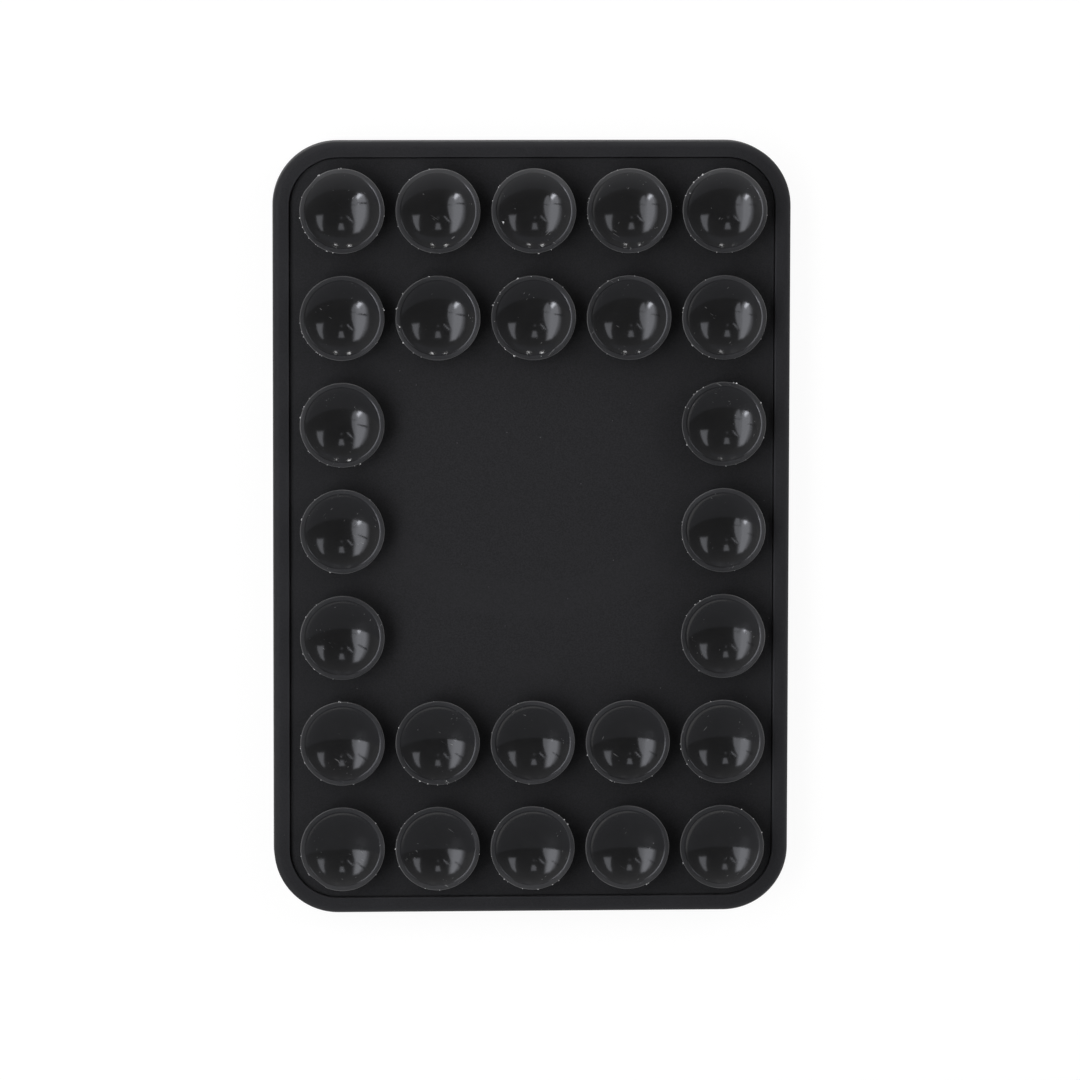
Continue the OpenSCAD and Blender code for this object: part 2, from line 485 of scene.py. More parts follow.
@dataclass(frozen=True)
class CupSilicone(Finish):
    """Smoky silicone: a polished bowl inside a satin lip, with a painted highlight and painted glow on the
    rim, dust and hair-fine scratches.
    """

    haze_colour: Colour = (0.0128, 0.0128, 0.0142)
    lip_colour: Colour = (0.0114, 0.0114, 0.0124)
    pale_and_highlight_colour: Colour = (0.75, 0.75, 0.76)
    lip_roughness: float = 0.49
    smoke_mm: float = 2.5
    smoke_levels: Point = (0.88, 1.12)
    grain_mm: float = 0.12
    grain_range: Point = (0.35, 0.7)
    grain_levels: Point = (0.8, 1.2)
    grain_depth_mm: float = 0.006
    bowl_grain: float = 0.05
    bright_mm: float = 9.0
    bright_range: Point = (0.5, 0.72)
    bright_level: float = 2.2
    dust: Specks = Specks(1.1, 0.055, 0.09)
    dust_share: float = 0.24
    dust_roughness: float = 0.3
    hair_turns: Point = (-38.0, 57.0)
    hair_patches_mm: Point = (2.62, 3.57)
    hair_mm: float = 0.15
    hair_stretch: float = 12.0
    hair_range: Point = (0.78, 0.84)
    hair_share: float = 0.7
    patch_range: Point = (0.6, 0.66)

    def make(self) -> bpy.types.Material:
        """Builds the material.

        Returns:
            The material.
        """
        n = Nodes(self.name)
        lip = n.mask(Mask.LIP)
        smoke = n.noise(self.smoke_mm)
        fine = n.noise(self.grain_mm, detail=2.0)
        bright = n.remap(n.noise(self.bright_mm, detail=2.0), *self.bright_range)
        bowl = n.mottle(n.spread(smoke), self.colour, self.smoke_levels)
        bowl = n.blend(n.mask(Mask.HAZE), bowl, rgba(self.haze_colour))
        rim = n.mottle(n.remap(fine, *self.grain_range), self.lip_colour, self.grain_levels)
        rim = n.blend(bright, rim, rgba(self.lip_colour, self.bright_level))
        colour = n.blend(lip, bowl, rim)
        patches = zip(self.hair_turns, self.hair_patches_mm)
        hairs = n.math("MAXIMUM", *[self.hairs(n, turn, patch_mm) for turn, patch_mm in patches])
        dust = n.math("MAXIMUM", n.specks(self.dust), hairs)
        # pale crumbs plus the painted highlight and glow on rims and lips, with dust and scratches added
        pale = n.math("MAXIMUM", n.mask(Mask.PALE_AND_HIGHLIGHT), n.math("MULTIPLY", dust, self.dust_share))
        colour = n.blend(pale, colour, rgba(self.pale_and_highlight_colour))
        rough = n.spread(smoke, *self.roughness)
        rough = n.math("ADD", rough, n.math("MULTIPLY", lip, self.lip_roughness))
        rough = n.math("ADD", rough, n.math("MULTIPLY", dust, self.dust_roughness))
        grain = n.math("MULTIPLY", fine, n.remap(lip, 0.0, 1.0, self.bowl_grain, 1.0))
        n.principled(colour, rough, n.bump(grain, self.grain_depth_mm), IOR=1.41)
        return n.material

    def hairs(self, n: Nodes, turn: float, patch_mm: float) -> bpy.types.NodeSocket:
        """Short hair-fine scratches in one direction, in a few patches only.

        Args:
            n: The material's nodes.
            turn: Direction of the scratches, in degrees from Y.
            patch_mm: Size of the patches.

        Returns:
            A mask, 1 on a scratch.
        """
        hair = n.noise(self.hair_mm, detail=0.0, place=n.stretched(self.hair_stretch, turn))
        fine = n.remap(hair, *self.hair_range, 0.0, self.hair_share)
        patch = n.remap(n.noise(patch_mm, detail=1.0), *self.patch_range)
        return n.math("MULTIPLY", fine, patch)


@dataclass(frozen=True)
class SkinSilicone(Finish):
    """Fine-grained soft skin that a phone rests on, with shallow pores and a little dust."""

    blotch_mm: float = 11.0
    blotch_levels: Point = (0.9, 1.12)
    pore_mm: float = 0.32
    pore_range: Point = (0.1, 0.75)
    pore_share: float = 0.3
    pore_level: float = 0.6
    pore_depth_mm: float = 0.012
    dust: Specks = Specks(3.4, 0.07, 0.12)
    dust_colour: Colour = (0.1, 0.1, 0.105)

    def make(self) -> bpy.types.Material:
        """Builds the material.

        Returns:
            The material.
        """
        n = Nodes(self.name)
        blotches = n.noise(self.blotch_mm)
        grain = n.remap(n.cells(self.pore_mm).outputs["Distance"], *self.pore_range)
        colour = n.mottle(n.spread(blotches), self.colour, self.blotch_levels)
        pores = n.remap(grain, 0.0, 1.0, self.pore_share, 0.0)
        colour = n.blend(pores, colour, rgba(self.colour, self.pore_level))
        colour = n.blend(n.specks(self.dust), colour, rgba(self.dust_colour))
        rough = n.spread(blotches, *self.roughness)
        n.principled(colour, rough, n.bump(grain, self.pore_depth_mm), IOR=1.42, Specular_IOR_Level=0.4)
        return n.material


@dataclass(frozen=True)
class CoreMoulding(Finish):
    """Plain moulded plastic with faint flow clouds."""

    flow_mm: float = 5.0
    flow_stretch: float = 2.5
    flow_levels: Point = (0.9, 1.12)
    grain_mm: float = 0.3
    grain_depth_mm: float = 0.004

    def make(self) -> bpy.types.Material:
        """Builds the material.

        Returns:
            The material.
        """
        n = Nodes(self.name)
        flow = n.noise(self.flow_mm, detail=4.0, place=n.stretched(self.flow_stretch))
        flecks = n.noise(self.grain_mm, detail=2.0)
        colour = n.mottle(n.spread(flow), self.colour, self.flow_levels)
        rough = n.spread(flow, *self.roughness)
        n.principled(colour, rough, n.bump(flecks, self.grain_depth_mm), IOR=1.5)
        return n.material


@dataclass(frozen=True)
class PlatedMetal(Finish):
    """Plated metal with rolling lines and small cloudy stains."""

    line_mm: float = 0.12
    line_stretch: float = 50.0
    line_depth_mm: float = 0.002
    stain_mm: float = 2.2
    stain_range: Point = (0.35, 0.7)
    stain_levels: Point = (1.0, 0.82)

    def make(self) -> bpy.types.Material:
        """Builds the material.

        Returns:
            The material.
        """
        n = Nodes(self.name)
        lines = n.noise(self.line_mm, detail=2.0, place=n.stretched(self.line_stretch))
        stains = n.noise(self.stain_mm, detail=4.0)
        colour = n.mottle(n.remap(stains, *self.stain_range), self.colour, self.stain_levels)
        rough = n.spread(lines, *self.roughness)
        n.principled(colour, rough, n.bump(lines, self.line_depth_mm), Metallic=1.0)
        return n.material


@dataclass(frozen=True)
class AdhesiveFilm(Finish):
    """Clear adhesive film with small trapped bubbles."""

    cloud_mm: float = 4.0
    cloud_levels: Point = (0.92, 1.05)
    bubbles: Specks = Specks(1.8, 0.3, 0.3)
    bubble_depth_mm: float = 0.01

    def make(self) -> bpy.types.Material:
        """Builds the material.

        Returns:
            The material.
        """
        n = Nodes(self.name)
        clouds = n.noise(self.cloud_mm)
        bubbles = n.specks(self.bubbles)
        colour = n.mottle(n.spread(clouds), self.colour, self.cloud_levels)
        rough = n.spread(clouds, *self.roughness)
        n.principled(colour, rough, n.bump(bubbles, self.bubble_depth_mm), IOR=1.47)
        return n.material


FINISHES: dict[Slot, Finish] = {
    Slot.SHELL: SoftTouchPlastic("soft_touch_shell", (0.0119, 0.0118, 0.0132), (0.66, 0.75)),
    Slot.PAD: PadSilicone("matte_pad_silicone", (0.0051, 0.005, 0.0055), (0.57, 0.64)),
    Slot.CUP: CupSilicone("smoky_cup_silicone", (0.0116, 0.0116, 0.0122), (0.095, 0.13)),
    Slot.SKIN: SkinSilicone("fine_grain_skin", (0.014, 0.014, 0.0148), (0.58, 0.67)),
    Slot.FILM: AdhesiveFilm("clear_adhesive_film", (0.62, 0.6, 0.5), (0.16, 0.3)),
    Slot.CORE: CoreMoulding("core_moulding", (0.08, 0.085, 0.09), (0.38, 0.5)),
    Slot.MAGNET: PlatedMetal("nickel_plate", (0.62, 0.62, 0.64), (0.19, 0.34)),
    Slot.SHUNT: PlatedMetal("zinc_plated_steel", (0.4, 0.41, 0.43), (0.29, 0.44), line_mm=0.2),
}


# Mesh helpers


@dataclass(frozen=True)
class Outline:
    """A rounded rectangle, centred on the origin, in millimetres."""

    width: float
    length: float
    corner: float

    def inset(self, distance: float) -> Outline:
        """The same outline, moved inwards.

        Args:
            distance: How far it moves.

        Returns:
            The smaller outline.
        """
        return Outline(self.width - 2 * distance, self.length - 2 * distance, self.corner - distance)

    def loop(self, side_step: float, corner_steps: int) -> list[Point]:
        """Points round the outline, against the clock from the middle of its right side.

        Args:
            side_step: Largest spacing along a straight side.
            corner_steps: Steps round a corner.

        Returns:
            The points.
        """
        half_w = self.width / 2 - self.corner
        half_l = self.length / 2 - self.corner
        across = max(1, round(2 * half_w / side_step))
        along = max(1, round(2 * half_l / side_step))
        points: list[Point] = []
        for quarter in range(4):
            x = half_w if quarter in (0, 3) else -half_w
            y = half_l if quarter in (0, 1) else -half_l
            for step in range(corner_steps + 1):
                angle = math.radians(90 * (quarter + step / corner_steps))
                points.append((x + self.corner * math.cos(angle), y + self.corner * math.sin(angle)))
            steps = across if quarter % 2 == 0 else along
            start = points[-1]
            turn = math.radians(90 * (quarter + 1))
            run = (-math.sin(turn), math.cos(turn))
            reach = 2 * (half_w if quarter % 2 == 0 else half_l)
            for step in range(1, steps):
                points.append(tuple(at + way * reach * step / steps for at, way in zip(start, run)))
        return points


def arc(centre: Point, radius: float, start: float, end: float, steps: int) -> list[Point]:
    """Points on an arc.

    Args:
        centre: Centre of the arc.
        radius: Radius of the arc.
        start: Angle of its first point, in degrees.
        end: Angle of its last point.
        steps: Number of steps between them.

    Returns:
        The points, both ends included.
    """
    angles = [math.radians(start + (end - start) * step / steps) for step in range(steps + 1)]
    return [(centre[0] + radius * math.cos(a), centre[1] + radius * math.sin(a)) for a in angles]


def inset_corners(corners: tuple[Point, ...], distance: float) -> list[Point]:
    """Moves every side of a polygon inwards.

    Args:
        corners: Corners of the polygon, against the clock.
        distance: How far the sides move.

    Returns:
        The corners of the smaller polygon.
    """
    count = len(corners)
    sides = [Vector(corners[(i + 1) % count]) - Vector(corners[i]) for i in range(count)]
    normals = [Vector((-side.y, side.x)).normalized() for side in sides]
    moved = []
    for index, corner in enumerate(corners):
        before, after = normals[index - 1], normals[index]
        shift = (before + after) * (distance / (1 + before.dot(after)))
        moved.append((corner[0] + shift.x, corner[1] + shift.y))
    return moved


def smooth(share: float) -> float:
    """Eases a share between 0 and 1, so that it starts and ends without a kink."""
    share = min(1.0, max(0.0, share))
    return share * share * (3 - 2 * share)


def add_rings(mesh: bmesh.types.BMesh, rings: list[list[bmesh.types.BMVert]], closed: bool = True) -> None:
    """Joins neighbouring rings of vertices with quads.

    Args:
        mesh: The mesh that holds them.
        rings: Rings with equal numbers of vertices.
        closed: Whether each ring closes on itself.
    """
    for inner, outer in zip(rings, rings[1:]):
        count = len(inner)
        for index in range(count if closed else count - 1):
            after = (index + 1) % count
            mesh.faces.new((inner[index], outer[index], outer[after], inner[after]))


def finish_mesh(
    mesh: bmesh.types.BMesh, name: str, slot: Slot, masks: dict[Mask, list[float]]
) -> bpy.types.Object:
    """Turns a mesh into a smooth object with its slot's material.

    Args:
        mesh: The mesh, in metres. It is freed.
        name: Name of the object.
        slot: Material slot, whose finish the object gets.
        masks: Values of the point attributes, one for each vertex.

    Returns:
        The object.
    """
    bmesh.ops.recalc_face_normals(mesh, faces=mesh.faces)
    data = bpy.data.meshes.new(name)
    mesh.to_mesh(data)
    mesh.free()
    for mask, values in masks.items():
        data.attributes.new(mask.value, "FLOAT", "POINT").data.foreach_set("value", values)
    data.shade_smooth()
    data.materials.append(bpy.data.materials[FINISHES[slot].name])
    piece = bpy.data.objects.new(name, data)
    bpy.context.scene.collection.objects.link(piece)
    return piece


# Sub-assemblies


@dataclass(frozen=True)
class SectionPoint:
    """A point of a cup's section: radius, height, and shares of satin lip, haze and painted highlight on the
    rim's edge.
    """

    r: float
    z: float
    lip: float = 0.0
    haze: float = 0.0
    pale: float = 0.0


@dataclass(frozen=True)
class Ripple:
    """A wander round a cup: how fine it is, which layer of the noise it reads, and its size."""

    fineness: float
    layer: float
    size: float


@dataclass(frozen=True)
class Crumb:
    """A crumb of flash on a rim: direction in degrees, distance in from the rim, radius and paleness."""

    angle: float
    inwards: float
    size: float
    pale: float = 1.0


@dataclass
class SuctionCup:
    """One cup: a polished bowl with a satin sealing lip, on a filleted neck. Heights are above the pad."""

    row: int
    col: int
    height: float
    radius: float
    rest_z: float
    centre: Point
    segments: int = 144
    # Bowl and sealing lip
    bowl_depth: float = 1.7
    bowl_steps: int = 28
    bowl_haze: float = 0.8
    bowl_dip: float = 0.004
    crest_start: float = 4.8
    crest_radius: float = 0.5
    crest_slope: float = 4.0
    crest_steps: int = 10
    lip_drop: float = 0.1
    lip_width: float = 0.7
    lip_steps: int = 4
    lip_end: float = 0.02
    land: float = 0.1
    # Rim, with the last points of its side given from its lower edge
    rim_round: float = 0.12
    rim_steps: int = 6
    rim_highlight_steps: int = 2
    rim_side: tuple[SectionPoint, ...] = (
        SectionPoint(0.0, 0.05, 0.9, 0.0, 0.5),
        SectionPoint(-0.012, 0.015, 0.8, 0.0, 0.2),
    )
    edge_height: float = 0.25
    # Outside, neck and foot
    back_start: float = 0.04
    back_steps: int = 12
    back_satin: float = 0.7
    neck_height: float = 0.6
    neck_radius: float = 2.2
    neck_flare: float = 0.45
    flare_low: float = 0.56
    flare_shares: tuple[float, ...] = (0.35, 0.65, 0.9)
    foot_radius: float = 2.5
    foot_height: float = 0.1
    fillet_steps: int = 4
    # Painted highlight round the rim, and painted glow on the rim and lip on the sides facing out of the
    # holder
    rim_highlight: float = 0.07
    rim_glint: Ripple = Ripple(1.6, 2.9, 0.8)
    rim_side_glow: float = 0.024
    lip_side_glow: float = 0.04
    fade: Point = (0.0, 0.0)
    # Unevenness of the moulding
    most_lean: float = 0.45
    uneven_from: float = 4.4
    uneven_above: float = 1.5
    rim_inset: float = 0.02
    rim_wave: Ripple = Ripple(2.2, 3.7, 0.022)
    rim_nicks: Ripple = Ripple(14.0, 1.3, 0.014)
    flat_least: float = 0.2
    rim_flats: dict[tuple[int, int], tuple[float, float]] = field(
        default_factory=lambda: {(1, 1): (140.0, 0.16), (7, 1): (232.0, 0.2)}
    )
    # Crumbs of flash and dust
    big_crumbs: dict[tuple[int, int], tuple[Crumb, ...]] = field(
        default_factory=lambda: {
            (1, 1): (
                Crumb(189.0, 0.0, 0.12),
                Crumb(202.0, 0.0, 0.09),
                Crumb(210.0, 0.0, 0.1),
                Crumb(219.0, 0.02, 0.1),
            ),
            (1, 3): (Crumb(201.0, 1.2, 0.17), Crumb(146.0, 0.0, 0.08), Crumb(240.0, 0.02, 0.08)),
            (1, 5): (Crumb(138.0, 0.0, 0.1), Crumb(129.0, 0.0, 0.08), Crumb(122.0, 0.02, 0.12)),
        }
    )
    crumbs_least: int = 8
    crumbs_most: int = 24
    crumb_sizes: tuple[float, ...] = (0.05, 0.065, 0.08, 0.1, 0.13)
    crumb_insets: tuple[float, ...] = (0.0, 0.01, 0.02, 0.03, 0.1, 0.4)
    crumb_side: float = 200.0
    crumb_spread: float = 75.0
    crumb_pale: Point = (0.3, 1.0)
    crumb_stretch: Point = (0.7, 1.3)
    crumb_flatness: float = 0.7
    crumb_sink: float = 0.2

    @property
    def node(self) -> str:
        """Name of the CAD node that this cup stands for."""
        return f"suction_cup_r{self.row}c{self.col}"

    @property
    def body(self) -> str:
        """Name of the CAD body that this cup rides on."""
        return f"cup_r{self.row}c{self.col}"

    @property
    def joint(self) -> str:
        """Name of the joint that presses this cup."""
        return f"press_r{self.row}c{self.col}"

    @property
    def seed(self) -> int:
        """Number that makes this cup's rim and crumbs its own."""
        return self.row * 10 + self.col

    def bowl_ball(self) -> tuple[float, float]:
        """Radius of the bowl's ball and the height of its centre."""
        lip_r = self.radius - self.lip_width
        radius = (lip_r**2 + self.bowl_depth**2) / (2 * self.bowl_depth)
        return radius, self.height - self.lip_drop - self.bowl_depth + radius

    def back_ball(self) -> tuple[float, float]:
        """Radius of the ball of the cup's outside and the height of its centre."""
        rise = self.height - self.edge_height - self.neck_height
        radius = (self.radius**2 + rise**2) / (2 * rise)
        return radius, self.neck_height + radius

    def lip_z(self, r: float) -> float:
        """Height of the bevelled lip at a radius."""
        run = max(0.0, self.radius - self.land - r)
        return self.height - run * math.tan(math.radians(self.crest_slope))

    def bowl_points(self) -> list[SectionPoint]:
        """Section of the bowl and its lip, from the bowl's middle to the rim's round.

        Returns:
            The points of the section.
        """
        _, ball_z = self.bowl_ball()
        slope = math.radians(self.crest_slope)
        crest_z = self.lip_z(self.crest_start) - self.crest_radius * math.cos(slope)
        crest_x = self.crest_start + self.crest_radius * math.sin(slope)
        reach = math.hypot(crest_x, ball_z - crest_z)
        lean = math.asin(crest_x / reach)
        bowl_r = reach - self.crest_radius
        points = []
        for step in range(1, self.bowl_steps + 1):
            angle = lean * step / self.bowl_steps
            r, z = bowl_r * math.sin(angle), ball_z - bowl_r * math.cos(angle)
            points.append(SectionPoint(r, z, 0.0, self.bowl_haze * (step / self.bowl_steps) ** 3))
        turns = (90 + math.degrees(lean), 90 + self.crest_slope)
        crest = arc((crest_x, crest_z), self.crest_radius, *turns, self.crest_steps)
        for index, (r, z) in enumerate(crest[1:], 1):
            points.append(SectionPoint(r, z, (index / len(crest)) ** 2, 1.0))
        lip_run = self.radius - self.rim_round - self.lip_end - self.crest_start
        for step in range(1, self.lip_steps):
            r = self.crest_start + lip_run * step / self.lip_steps
            points.append(SectionPoint(r, self.lip_z(r), 1.0))
        return points

    def back_points(self) -> list[SectionPoint]:
        """Section of the rim's round and the cup's outside, down to the foot of its neck.

        Returns:
            The points of the section.
        """
        rim_middle = (self.radius - self.rim_round, self.height - self.rim_round)
        points = []
        for index, (r, z) in enumerate(arc(rim_middle, self.rim_round, 90, 0, self.rim_steps)):
            points.append(SectionPoint(r, z, 1.0, 0.0, min(1.0, index / self.rim_highlight_steps)))
        low = self.height - self.edge_height
        points += [replace(side, r=self.radius + side.r, z=low + side.z) for side in self.rim_side]
        back_r, back_z = self.back_ball()
        start = math.degrees(math.asin((self.radius - self.back_start) / back_r))
        end = math.degrees(math.asin((self.neck_radius + self.neck_flare) / back_r))
        for r, z in arc((0.0, back_z), back_r, 270 + start, 270 + end, self.back_steps):
            points.append(SectionPoint(r, z, self.back_satin))
        joint_z = back_z - back_r * math.cos(math.radians(end))
        for share in self.flare_shares:
            r = self.neck_radius + self.neck_flare * (1 - share) ** 2
            points.append(SectionPoint(r, joint_z - (joint_z - self.flare_low) * share, self.back_satin))
        fillet = self.foot_radius - self.neck_radius
        for r, z in arc((self.foot_radius, self.foot_height + fillet), fillet, 180, 270, self.fillet_steps):
            points.append(SectionPoint(r, z, self.back_satin))
        points.append(SectionPoint(self.foot_radius, 0.0, self.back_satin))
        return points

    def ripple(self, kind: Ripple, turn: float) -> float:
        """How far this cup wanders in a direction.

        Args:
            kind: The wander.
            turn: Direction from the cup's centre, in radians.

        Returns:
            The wander, between minus its size and its size.
        """
        place = (kind.fineness * math.cos(turn), kind.fineness * math.sin(turn), self.seed * kind.layer)
        return kind.size * noise.noise(place)

    def rim_reach(self, angle: float) -> float:
        """How far the rim stands in at an angle, from uneven moulding and flats.

        Args:
            angle: Direction from the cup's centre, in degrees.

        Returns:
            Change of the rim's radius, in millimetres, never above 0.
        """
        turn = math.radians(angle)
        reach = -self.rim_inset + self.ripple(self.rim_wave, turn) + self.ripple(self.rim_nicks, turn)
        flat = self.rim_flats.get((self.row, self.col))
        if flat:
            side, depth = flat
            chord = (self.radius - depth) / max(self.flat_least, math.cos(math.radians(angle - side)))
            reach = min(reach, chord - self.radius)
        return min(0.0, reach)

    def draw_crumbs(self, draw: random.Random) -> list[Crumb]:
        """Chooses the crumbs of flash and dust that cling to the rim.

        Args:
            draw: Source of random numbers.

        Returns:
            The crumbs.
        """
        crumbs = list(self.big_crumbs.get((self.row, self.col), ()))
        for _ in range(draw.randint(self.crumbs_least, self.crumbs_most - self.row)):
            size = draw.choice(self.crumb_sizes)
            inwards = draw.choice(self.crumb_insets)
            angle = draw.gauss(self.crumb_side, self.crumb_spread)
            crumbs.append(Crumb(angle, inwards, size, draw.uniform(*self.crumb_pale)))
        return crumbs

    def add_flash(self, mesh: bmesh.types.BMesh, draw: random.Random, masks: dict[Mask, list[float]]) -> None:
        """Adds the tiny crumbs of flash and dust that cling to the rim.

        Args:
            mesh: The cup's mesh.
            draw: Source of random numbers.
            masks: Masks of the mesh's vertices, which grow with them.
        """
        ball_r, ball_z = self.bowl_ball()
        for crumb in self.draw_crumbs(draw):
            r = self.radius + self.rim_reach(crumb.angle) - crumb.inwards
            face = self.lip_z(r) if r > self.crest_start else ball_z - math.sqrt(ball_r**2 - r**2)
            z = min(face, self.height - crumb.size) - self.crumb_sink * crumb.size
            turn = math.radians(crumb.angle)
            x, y = self.centre[0] + r * math.cos(turn), self.centre[1] + r * math.sin(turn)
            spot = Vector((x, y, self.rest_z + z))
            made = bmesh.ops.create_icosphere(mesh, subdivisions=1, radius=crumb.size * MM)["verts"]
            for vert in made:
                across, along = draw.uniform(*self.crumb_stretch), draw.uniform(*self.crumb_stretch)
                stretch = Vector((across, along, self.crumb_flatness))
                vert.co = Vector(a * b for a, b in zip(vert.co, stretch)) + spot * MM
            for mask, value in ((Mask.LIP, 1.0), (Mask.HAZE, 0.0), (Mask.PALE_AND_HIGHLIGHT, crumb.pale)):
                masks[mask] += [value] * len(made)

    def build(self) -> bpy.types.Object:
        """Models the cup and fixes it to its body.

        Returns:
            The cup's object.
        """
        draw = random.Random(self.seed)
        lean = math.radians(draw.uniform(0.0, self.most_lean))
        toward = math.radians(draw.uniform(0, 360))
        profile = self.bowl_points() + self.back_points()
        mesh = bmesh.new()
        masks = {Mask.LIP: [0.0], Mask.HAZE: [0.0], Mask.PALE_AND_HIGHLIGHT: [0.0]}
        bottom = mesh.verts.new(self.spot(0.0, 0.0, profile[0].z - self.bowl_dip, lean, toward))
        rings = []
        for point in profile:
            ring = []
            share = 0.0
            if point.z > self.uneven_above:
                share = max(0.0, (point.r - self.uneven_from) / (self.radius - self.uneven_from))
            for index in range(self.segments):
                angle = 360 * index / self.segments
                reach = point.r + self.rim_reach(angle) * share**2
                turn = math.radians(angle)
                x, y = reach * math.cos(turn), reach * math.sin(turn)
                ring.append(mesh.verts.new(self.spot(x, y, point.z, lean, toward)))
                # painted highlight round the rim, and painted glow on the rim and lip on the sides facing out
                # of the holder
                fade = max(0.0, self.fade[0] * math.cos(turn) + self.fade[1] * math.sin(turn))
                pale = self.rim_highlight * (1 + self.ripple(self.rim_glint, turn)) + self.rim_side_glow * fade
                masks[Mask.LIP].append(point.lip)
                masks[Mask.HAZE].append(point.haze)
                masks[Mask.PALE_AND_HIGHLIGHT].append(point.pale * pale + self.lip_side_glow * fade * max(point.haze, point.lip))
            rings.append(ring)
        add_rings(mesh, rings)
        for index in range(self.segments):
            mesh.faces.new((bottom, rings[0][index], rings[0][(index + 1) % self.segments]))
        mesh.faces.new(rings[-1])
        self.add_flash(mesh, draw, masks)
        piece = finish_mesh(mesh, self.body, Slot.CUP, masks)
        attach(piece, self.body)
        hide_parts(self.node)
        return piece

    def spot(self, x: float, y: float, z: float, lean: float, toward: float) -> Vector:
        """Place of a point of the cup, in metres, with the cup's slight lean.

        Args:
            x: Place across, from the cup's axis.
            y: Place along.
            z: Height above the pad.
            lean: Lean of the rim, in radians.
            toward: Direction of the lean, in radians.

        Returns:
            The point in the holder's frame.
        """
        share = min(1.0, z / self.height) ** 2
        drop = math.tan(lean) * (x * math.cos(toward) + y * math.sin(toward) - self.radius) * share
        return Vector((self.centre[0] + x, self.centre[1] + y, self.rest_z + z + min(0.0, drop))) * MM

    def press(self, piece: bpy.types.Object) -> None:
        """Gives the cup its own copy of its mesh.

        Args:
            piece: The cup's object.
        """
        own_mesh(piece)


@dataclass
class SoftSheet:
    """A soft sheet with rounded edges and a relief on its open face."""

    name: str
    node: str
    slot: Slot
    outline: Outline
    closed_z: float
    open_z: float
    edge_round: float
    step: float
    corner_steps: int = 24
    edge_steps: int = 4

    def relief(self, x: float, y: float) -> float:
        """Height of the open face above its plane, in millimetres, zero unless a sheet says more."""
        return 0.0

    def band(self, x: float, y: float) -> float:
        """Share of the magnets' band at a point of the open face, zero unless a sheet says more."""
        return 0.0

    def painted_shade(self, x: float, y: float) -> float:
        """Share of painted shade at a point of the open face, from nearby cups, zero unless a sheet says
        more.
        """
        return 0.0

    def rows(self, flat: Outline) -> list[list[Point]]:
        """Grid of points over the flat part of the open face.

        Args:
            flat: Outline of the flat part.

        Returns:
            Rows of points from the low end to the high end, each from left to right.
        """
        straight = flat.length / 2 - flat.corner
        count = round(2 * straight / self.step)
        levels = [straight * (2 * index / count - 1) for index in range(count + 1)]
        turns = [math.radians(90 * k / self.corner_steps) for k in range(1, self.corner_steps + 1)]
        ends = [straight + flat.corner * math.sin(turn) for turn in turns]
        levels = [-level for level in reversed(ends)] + levels + ends
        across = round(flat.width / self.step)
        rows = []
        for level in levels:
            over = max(0.0, abs(level) - straight)
            side = flat.width / 2 - flat.corner + math.sqrt(max(0.0, flat.corner**2 - over**2))
            rows.append([(side * (2 * index / across - 1), level) for index in range(across + 1)])
        return rows

    def border(self, rows: list[list[bmesh.types.BMVert]]) -> list[bmesh.types.BMVert]:
        """The grid's outer vertices, in order round it, from the lower left corner."""
        left = [row[0] for row in reversed(rows)]
        right = [row[-1] for row in rows]
        return rows[0][:-1] + right[:-1] + rows[-1][:0:-1] + left[:-1]

    def outward(self, x: float, y: float, flat: Outline) -> Point:
        """Direction that points away from the sheet at a point of its flat part's edge."""
        dx = max(0.0, abs(x) - (flat.width / 2 - flat.corner))
        dy = max(0.0, abs(y) - (flat.length / 2 - flat.corner))
        size = math.hypot(dx, dy) or 1.0
        return (math.copysign(dx / size, x), math.copysign(dy / size, y))

    def build(self) -> bpy.types.Object:
        """Models the sheet and fixes it to the holder.

        Returns:
            The sheet's object.
        """
        up = 1.0 if self.open_z > self.closed_z else -1.0
        flat = self.outline.inset(self.edge_round)
        mesh = bmesh.new()
        masks: dict[Mask, list[float]] = {Mask.BAND: [], Mask.FEET: []}
        grid = []
        for row in self.rows(flat):
            line = []
            for x, y in row:
                z = self.open_z + up * self.relief(x, y)
                line.append(mesh.verts.new(Vector((x, y, z)) * MM))
                masks[Mask.BAND].append(self.band(x, y))
                masks[Mask.FEET].append(self.painted_shade(x, y))
            grid.append(line)
        add_rings(mesh, grid, closed=False)
        rim = self.border(grid)
        rings = [rim]
        places = [(vert.co.x / MM, vert.co.y / MM) for vert in rim]
        highlight_sides = [self.outward(x, y, flat) for x, y in places]
        levels = []
        for step in range(1, self.edge_steps + 1):
            turn = math.radians(90 * step / self.edge_steps)
            drop = self.edge_round * (1 - math.cos(turn))
            levels.append((self.edge_round * math.sin(turn), self.open_z - up * drop))
        levels.append((self.edge_round, self.closed_z))
        for out, z in levels:
            ring = []
            for (x, y), (wx, wy) in zip(places, highlight_sides):
                ring.append(mesh.verts.new(Vector((x + wx * out, y + wy * out, z)) * MM))
                masks[Mask.BAND].append(0.0)
                masks[Mask.FEET].append(self.painted_shade(x, y))
            rings.append(ring)
        add_rings(mesh, rings)
        mesh.faces.new(rings[-1])
        piece = finish_mesh(mesh, self.name, self.slot, masks)
        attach(piece, "holder")
        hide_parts(self.node)
        return piece


def ring_and_bar(x: float, y: float, ring: Ring, bar: Bar) -> float:
    """Distance from a point to the band of the magnet ring or to the bar, below 0 inside them.

    Args:
        x: Place across.
        y: Place along.
        ring: Centre height, inner radius and outer radius of the ring.
        bar: Lowest and highest x, then lowest and highest y of the bar.

    Returns:
        The signed distance in millimetres.
    """
    centre, inner, outer = ring
    left, right, low, high = bar
    r = math.hypot(x, y - centre)
    to_ring = max(inner - r, r - outer)
    to_bar = max(left - x, x - right, low - y, y - high)
    return min(to_ring, to_bar)


